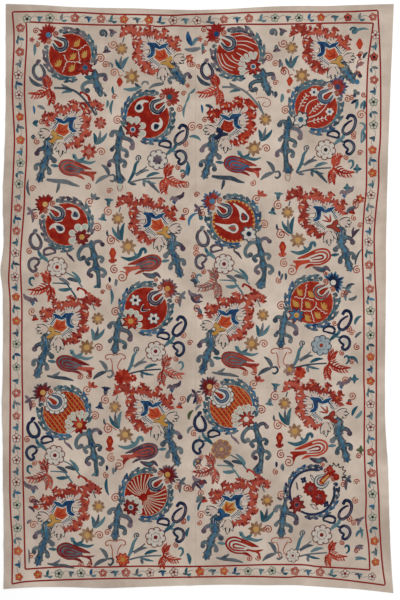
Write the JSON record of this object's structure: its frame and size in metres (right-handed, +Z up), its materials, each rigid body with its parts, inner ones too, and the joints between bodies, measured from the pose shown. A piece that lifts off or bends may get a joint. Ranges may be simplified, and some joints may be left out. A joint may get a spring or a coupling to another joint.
{
  "type": "suzani embroidered textile",
  "caption": "Rectangular cotton cloth of two sewn panels, embroidered all over with fruit medallions, palmettes, tulips and paisleys inside a flowered border, laid flat.",
  "frame": {"origin": "on the floor under the middle of the cloth", "axes": "+Z up out of the embroidered face, +Y along the length towards the upper end, +X to the right across the width"},
  "size_m": [1.571, 2.3557, 0.0063],
  "materials": {
    "cotton": "plain-woven ecru cotton, matt, with slubs and small creases",
    "silk": "couched and chain-stitched floss silk with a soft sheen, in reds, blues, teal, gold and white"
  },
  "bodies": {
    "root": {"panel_left": "cotton", "panel_right": "cotton"}
  },
  "joints": []
}
